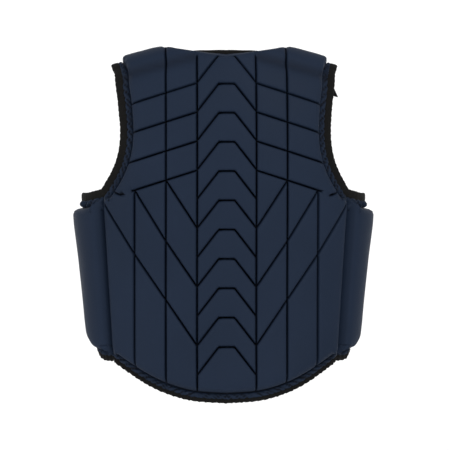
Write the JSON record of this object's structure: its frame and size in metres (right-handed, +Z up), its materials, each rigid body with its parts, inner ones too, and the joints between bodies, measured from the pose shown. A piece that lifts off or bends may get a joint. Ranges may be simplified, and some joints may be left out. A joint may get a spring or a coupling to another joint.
{
  "type": "equestrian body protector",
  "caption": "Rider's padded body protector vest in navy, with foam blocks, side panels, shoulder straps, a front zip and black bound edges.",
  "frame": {"origin": "midway between the shoulders, at the height where the wearer's shoulders carry the vest", "axes": "+Z up to the head, +X to the wearer's right, +Y ahead of the wearer"},
  "size_m": [0.4672, 0.232, 0.5458],
  "materials": {
    "padded_navy": "woven cover over foam, with a soft sheen",
    "binding_black": "ribbed knitted tape",
    "strap_black": "brushed loop tape",
    "zip_black": "moulded zip chain on woven tape"
  },
  "bodies": {
    "root": {"back_panel": "padded_navy", "front_panel_left": "padded_navy", "front_panel_right": "padded_navy", "side_panel_left": "padded_navy", "side_panel_right": "padded_navy", "armhole_binding_left": "binding_black", "armhole_binding_right": "binding_black", "neck_binding": "binding_black", "hem_binding": "binding_black", "shoulder_strap_left": "strap_black", "shoulder_strap_right": "strap_black", "front_zip": "zip_black", "zip_slider": "zip_black"}
  },
  "joints": []
}
